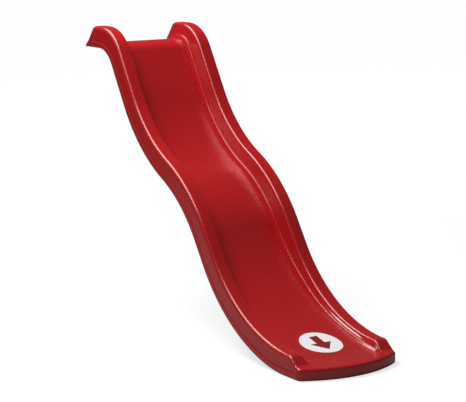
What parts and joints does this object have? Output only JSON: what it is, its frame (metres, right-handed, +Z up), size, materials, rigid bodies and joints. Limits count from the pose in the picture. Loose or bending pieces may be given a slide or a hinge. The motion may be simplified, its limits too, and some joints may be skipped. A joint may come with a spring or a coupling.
{
  "type": "wave slide",
  "caption": "Moulded plastic wave slide with raised side rails and a trough, a hooked lip that lies on a play tower's platform and a flat foot.",
  "frame": {"origin": "on the ground, at the middle of the foot's flat ground face", "axes": "+Z up, +Y uphill from the foot towards the platform, +X across the slide to the right of someone looking uphill"},
  "size_m": [0.374, 1.3231, 0.975],
  "materials": {
    "slide_plastic": "satin, fine moulded grain",
    "sticker_white": "smooth vinyl",
    "sticker_print": "printed",
    "screw_steel": "zinc plated",
    "cap_plastic": "satin",
    "rubber": "matte",
    "nylon": "matte",
    "black_plastic": "satin",
    "hose_plastic": "satin"
  },
  "bodies": {
    "root": {"slide_shell": "slide_plastic", "direction_disc": "sticker_white", "direction_arrow": "sticker_print", "platform_screws": "screw_steel", "screw_washers": "screw_steel", "cap_bases": "cap_plastic", "cap_lids": "cap_plastic", "spray_head": "cap_plastic", "spray_head_gasket": "rubber", "lock_nut_washer": "nylon", "lock_nut": "black_plastic", "hose_adaptor": "hose_plastic", "adaptor_seal": "rubber", "nipple_o_ring": "rubber", "blow_hole_plugs": "cap_plastic"}
  },
  "joints": []
}
